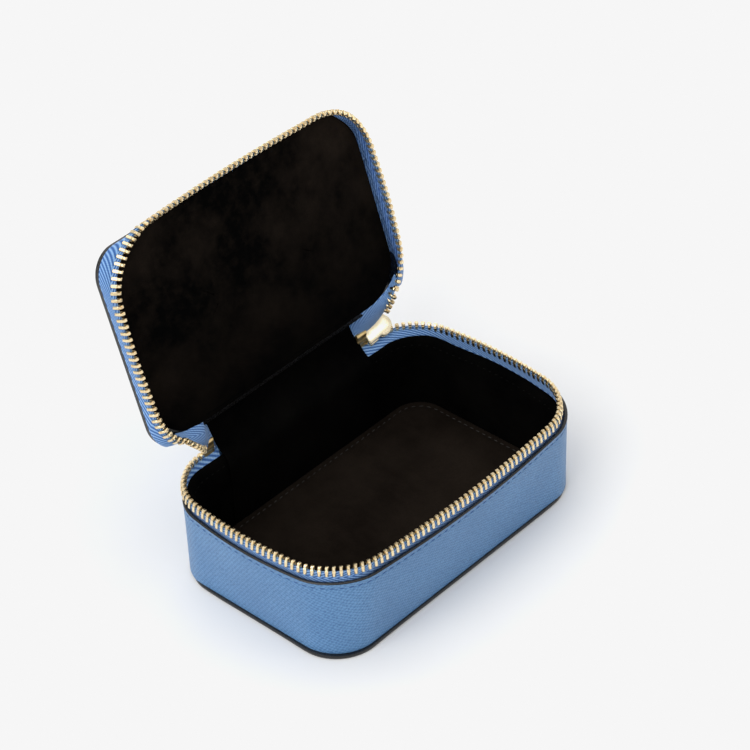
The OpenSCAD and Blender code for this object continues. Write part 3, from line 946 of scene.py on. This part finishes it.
def spine(name, mid, half, mat, replaces, half_x, shear=0.0):
    """A strip of leather or suede from its section's centre line in Y and Z and half its thickness.
    Above the bend it is shifted sideways by shear."""
    m = relax(resample(np.array(mid, float), 90), 6)
    n = normals(m, closed=False)
    section = np.r_[m + n * half, (m - n * half)[::-1]]
    xs = np.linspace(-half_x, half_x, 61)
    rows = [np.c_[xs + shear * float(smooth((z - 35) / 7)), np.full(len(xs), y), np.full(len(xs), z)]
            for y, z in section]
    ob = piece(name, tube(rows), None, [mat], replaces, sharp=50)
    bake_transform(ob)


leather_line = [(35.85, 3.0), (35.9, 14), (36.0, 24), (36.1, 28.5), (36.5, 31), (37.4, 33.6), (38.6, 36),
                (39.5, 38.4), (39.7, 40.3), (39.0, 41.8), (38.3, 42.9), (38.2, 44.2), (38.5, 46.0)]
spine("spine_leather", leather_line, 0.45, LEATHER,
      ["spine_leather_lower", "spine_leather_upper"], SPINE_X)
lining_line = [(30.9, FLOOR_TOP - 1.2), (30.9, 12), (30.9, 22), (31.0, 26.5), (31.6, 28.5), (33.2, 29.9),
               (35.2, 31.5), (36.9, 33.8), (38.0, 36.6), (38.6, 39.2), (38.4, 41.0), (37.6, 42.6),
               (36.8, 44.2), (36.7, 46.0)]
spine("spine_lining", lining_line, 0.3, SUEDE, ["spine_lining_lower", "spine_lining_upper"],
      SPINE_X + 0.3, -2.6)


# ---------- stops ----------
STOP_Y = 37.2


def end_stop(name, cx, cz, node):
    """Crimped brass stop: three rounded ridges along the chain."""
    s = Shell()
    section = []
    for k in range(96):
        t = 2 * math.pi * k / 96
        z = 3.0 * np.sign(math.sin(t)) * abs(math.sin(t)) ** 0.8
        flat = 1.15 * np.sign(math.cos(t)) * min(abs(math.cos(t)) ** 0.35, 1)
        groove = 0.22 * (0.5 + 0.5 * math.cos(2 * math.pi * (z / 2.0 + 0.5))) * np.sign(flat) \
            * (abs(z) < 2.6)
        section.append((flat - groove, z))
    section = np.array(section)
    rows = []
    for x in (-2.1, -2.06, -1.95, -1.7, 0, 1.7, 1.95, 2.06, 2.1):
        e = math.sqrt(max(1 - (abs(x) / 2.2) ** 8, 0.05))
        rows.append(np.c_[np.full(len(section), x + cx), STOP_Y + section[:, 0] * (0.6 + 0.4 * e),
                          cz + section[:, 1] * (0.92 + 0.08 * e)])
    s.grid(rows, round_u=True)
    s.cap(rows[0])
    s.cap(rows[-1][::-1])
    piece(name, s, "tray", [STOP_GOLD], [node], sharp=50)


end_stop("stop_left", -35.1, 33.0, "end_stop_left")
end_stop("stop_right", 33.6, 33.5, "end_stop_right")

# ---------- slider ----------
SLIDER_C = np.array([40.1, 38.0, 32.7])
SLIDER_PITCH, SLIDER_TILT = math.radians(-4), math.radians(-34)
turn = np.array((Matrix.Rotation(SLIDER_PITCH, 3, "Y") @ Matrix.Rotation(SLIDER_TILT, 3, "X")))
PLATE_ARC = 40                  # steps round a plate's head


def in_slider(v):
    """Slider frame: X along the chain, Y out of the case, Z up; leaning back a little."""
    return v @ turn.T + SLIDER_C


def keyhole(head_u=3.3, head_r=3.4, neck=2.45, tail=-4.9):
    """Outline of a slider plate: round head, waist, square tail."""
    pts = []
    for k in range(PLATE_ARC + 1):
        a = math.radians(138 - 276 * k / PLATE_ARC)
        pts.append((head_u + head_r * math.cos(a), head_r * math.sin(a)))
    low, high = pts[-1], pts[0]
    for t in np.linspace(0, 1, 7)[1:]:
        pts.append((low[0] + (-0.9 - low[0]) * t, low[1] + (-neck - low[1]) * float(smooth(t))))
    pts += [(-3.0, -neck - 0.02), (tail + 0.3, -neck - 0.12), (tail, -neck + 0.25), (tail, 0),
            (tail, neck - 0.25), (tail + 0.3, neck + 0.12), (-3.0, neck + 0.02)]
    for t in np.linspace(1, 0, 7)[:-1]:
        pts.append((high[0] + (-0.9 - high[0]) * t, high[1] + (neck - high[1]) * float(smooth(t))))
    return np.array(pts)


def plate(s, y0, y1, outward, **shape):
    """A keyhole plate between two faces; the one facing away from the chain has a wide bevel."""
    k = keyhole(**shape)
    n = normals(k[::-1])[::-1]
    steps = [(0.0, 0.0), (0.0, 0.7), (0.22, 0.93), (0.6, 1.0)] if outward > 0 else \
            [(0.6, 0.0), (0.22, 0.07), (0.0, 0.3), (0.0, 1.0)]
    rows = []
    for inset, f in steps:
        q = k - n * inset
        rows.append(in_slider(np.c_[q[:, 0], np.full(len(q), y0 + (y1 - y0) * f), q[:, 1]]))
    s.grid(rows, round_u=True)
    s.cap(rows[0])
    s.cap(rows[-1][::-1])


s = Shell()
plate(s, -2.6, -1.3, -1)        # inner face
plate(s, 1.4, 2.5, 1)           # outer face
plate(s, -1.7, -0.7, -1, head_r=3.75, neck=3.2, tail=-4.2)     # wider rim under the inner face
v, f = chamfer_box((1.9, 3.3, 1.9), (0.4, 0.1, 0.4), (4.1, 0, 0))  # the wedge that joins the two
s.add(in_slider(v), f)
for side in (-1, 1):            # flanges that close the plates' edges round the tapes' slots
    for y in (-1.25, 1.25):
        v, f = chamfer_box((5.2, 0.75, 0.6), (0.2, 0.2, 0.2), (-2.4, y, side * 1.95))
        s.add(in_slider(v), f)
piece("slider", s, "slider", [GOLD], ["slider_body"], sharp=35)

# loop that carries the pull: an oval bar bent into an arch over the outer face
arch = resample(np.array([(-2.6, 2.35), (-2.6, 3.6), (-2.35, 4.3), (-1.8, 4.75), (-1.0, 4.9), (1.0, 4.9),
                          (1.8, 4.75), (2.35, 4.3), (2.6, 3.6), (2.6, 2.35)]), 40)
n = normals(arch, closed=False)
rows = []
for a in (2 * math.pi * k / 12 for k in range(12)):
    q = arch + n * 0.36 * math.cos(a)
    rows.append(in_slider(np.c_[q[:, 0], q[:, 1], np.full(len(q), 0.85 * math.sin(a))]))
piece("slider_loop", tube(rows), "slider", [GOLD], ["slider_bridge"], sharp=50)

# pull tab: a long rounded tab with a raised rim, and its narrower end in the loop
PULL_L, TIP_R, EYE_R = 19.0, 2.35, 1.5
PULL_OUT = 3.75                 # how far it lies from the chain's middle


def tab_outline(inset):
    pts = []
    r, eye = TIP_R - inset, EYE_R - inset
    for a in np.radians(np.linspace(90, 270, 17)):
        pts.append((-PULL_L + TIP_R + r * math.cos(a), r * math.sin(a)))
    pts += [(-12.0, -r + 0.15), (-6.0, -1.75 + inset), (-1.6, -eye)]
    for a in np.radians(np.linspace(-70, 70, 9)):
        pts.append((-0.4 + eye * math.cos(a), eye * math.sin(a)))
    pts += [(-1.6, eye), (-6.0, 1.75 - inset), (-12.0, r - 0.15)]
    return np.array(pts)


s = Shell()
rows = []
for inset, y in ((0.35, -0.5), (0.0, -0.2), (0.0, 0.2), (0.35, 0.5), (0.7, 0.42), (0.95, 0.34)):
    q = tab_outline(inset)
    rows.append(in_slider(np.c_[q[:, 0], np.full(len(q), y + PULL_OUT), q[:, 1]]))
s.grid(rows, round_u=True)
s.cap(rows[0])
s.cap(rows[-1][::-1])
piece("pull", s, "pull", [GOLD], ["pull_tab"], sharp=40)

# ---------- CAD nodes that stay: boards inside ----------
for name in ("base_board", "lid_board"):
    ob = bpy.data.objects[name]
    ob.data.materials.clear()
    ob.data.materials.append(BOARD)

# ---------- floor, lights, camera ----------
REACH = 4                       # metres from the middle of the floor to its edges
me = bpy.data.meshes.new("floor")
me.from_pydata([(-REACH, -REACH, 0), (REACH, -REACH, 0), (REACH, REACH, 0), (-REACH, REACH, 0)], [],
               [[0, 1, 2, 3]])
stage = bpy.data.objects.new("studio_floor", me)
bpy.context.scene.collection.objects.link(stage)
m = Mat("studio_floor")
grain = m.noise(m.place(), 0.05, 2.0)
m.set(Base_Color=m.mix(grain, (0.90, 0.90, 0.90, 1), (0.92, 0.92, 0.92, 1)), Roughness=0.95,
      Specular_IOR_Level=0.0)
me.materials.append(m.mat)

world = bpy.data.worlds.new("studio")
world.use_nodes = True
sky = world.node_tree.nodes["Background"]
sky.inputs["Color"].default_value = (1.0, 1.0, 1.0, 1)
sky.inputs["Strength"].default_value = 0.68
bpy.context.scene.world = world


AIM = Vector((0, 0, 0.03))      # the point that the lamps face, in metres


def lamp(name, kind, place, power, size):
    """A sun (size = its width in degrees) or a square softbox (size in metres)."""
    data = bpy.data.lights.new(name, kind)
    data.energy = power
    if kind == "SUN":
        data.angle = math.radians(size)
    else:
        data.size = size
    ob = bpy.data.objects.new(name, data)
    ob.location = place
    ob.rotation_euler = (AIM - Vector(place)).to_track_quat("-Z", "Y").to_euler()
    bpy.context.scene.collection.objects.link(ob)


lamp("key", "SUN", (-0.85, 0.0, 0.85), 1.35, 50)
lamp("top", "SUN", (0.1, 0.3, 1.0), 0.75, 60)
lamp("card", "AREA", (0.6, -0.85, 0.36), 0.34, 0.25)

# the camera fitted to the photo: angles in degrees, distances in metres, lens in millimetres
AZ, EL, ROLL = -46.2997, 37.6906, 2.6518
DIST, SHIFT_X, SHIFT_Y = 0.919779, 0.000436, -0.045822
LENS, SENSOR = 143.076, 36.0
a, e, r = (math.radians(x) for x in (AZ, EL, ROLL))
back = Vector((math.sin(a) * math.cos(e), -math.cos(a) * math.cos(e), math.sin(e)))
right = (-back).cross(Vector((0, 0, 1))).normalized()
down = (-back).cross(right)
place = back * DIST + right * SHIFT_X + down * SHIFT_Y
right2 = right * math.cos(r) + down * math.sin(r)
down2 = -right * math.sin(r) + down * math.cos(r)
cam_data = bpy.data.cameras.new("camera")
cam_data.sensor_width = SENSOR
cam_data.lens = LENS
cam_data.clip_start = 0.05
cam = bpy.data.objects.new("camera", cam_data)
rot = Matrix((right2, -down2, back)).transposed()
cam.matrix_world = Matrix.Translation(place) @ rot.to_4x4()
bpy.context.scene.collection.objects.link(cam)
bpy.context.scene.camera = cam
view = bpy.context.scene.view_settings
view.view_transform = "Standard"
view.use_curve_mapping = True
levels = view.curve_mapping
levels.extend = "HORIZONTAL"
PAPER = 0.922                   # the studio's paper is levelled to one pale grey
for point, spot in zip(levels.curves[3].points, ((0.0, 0.0), (1.0, PAPER))):
    point.location = spot
    point.handle_type = "VECTOR"
levels.update()
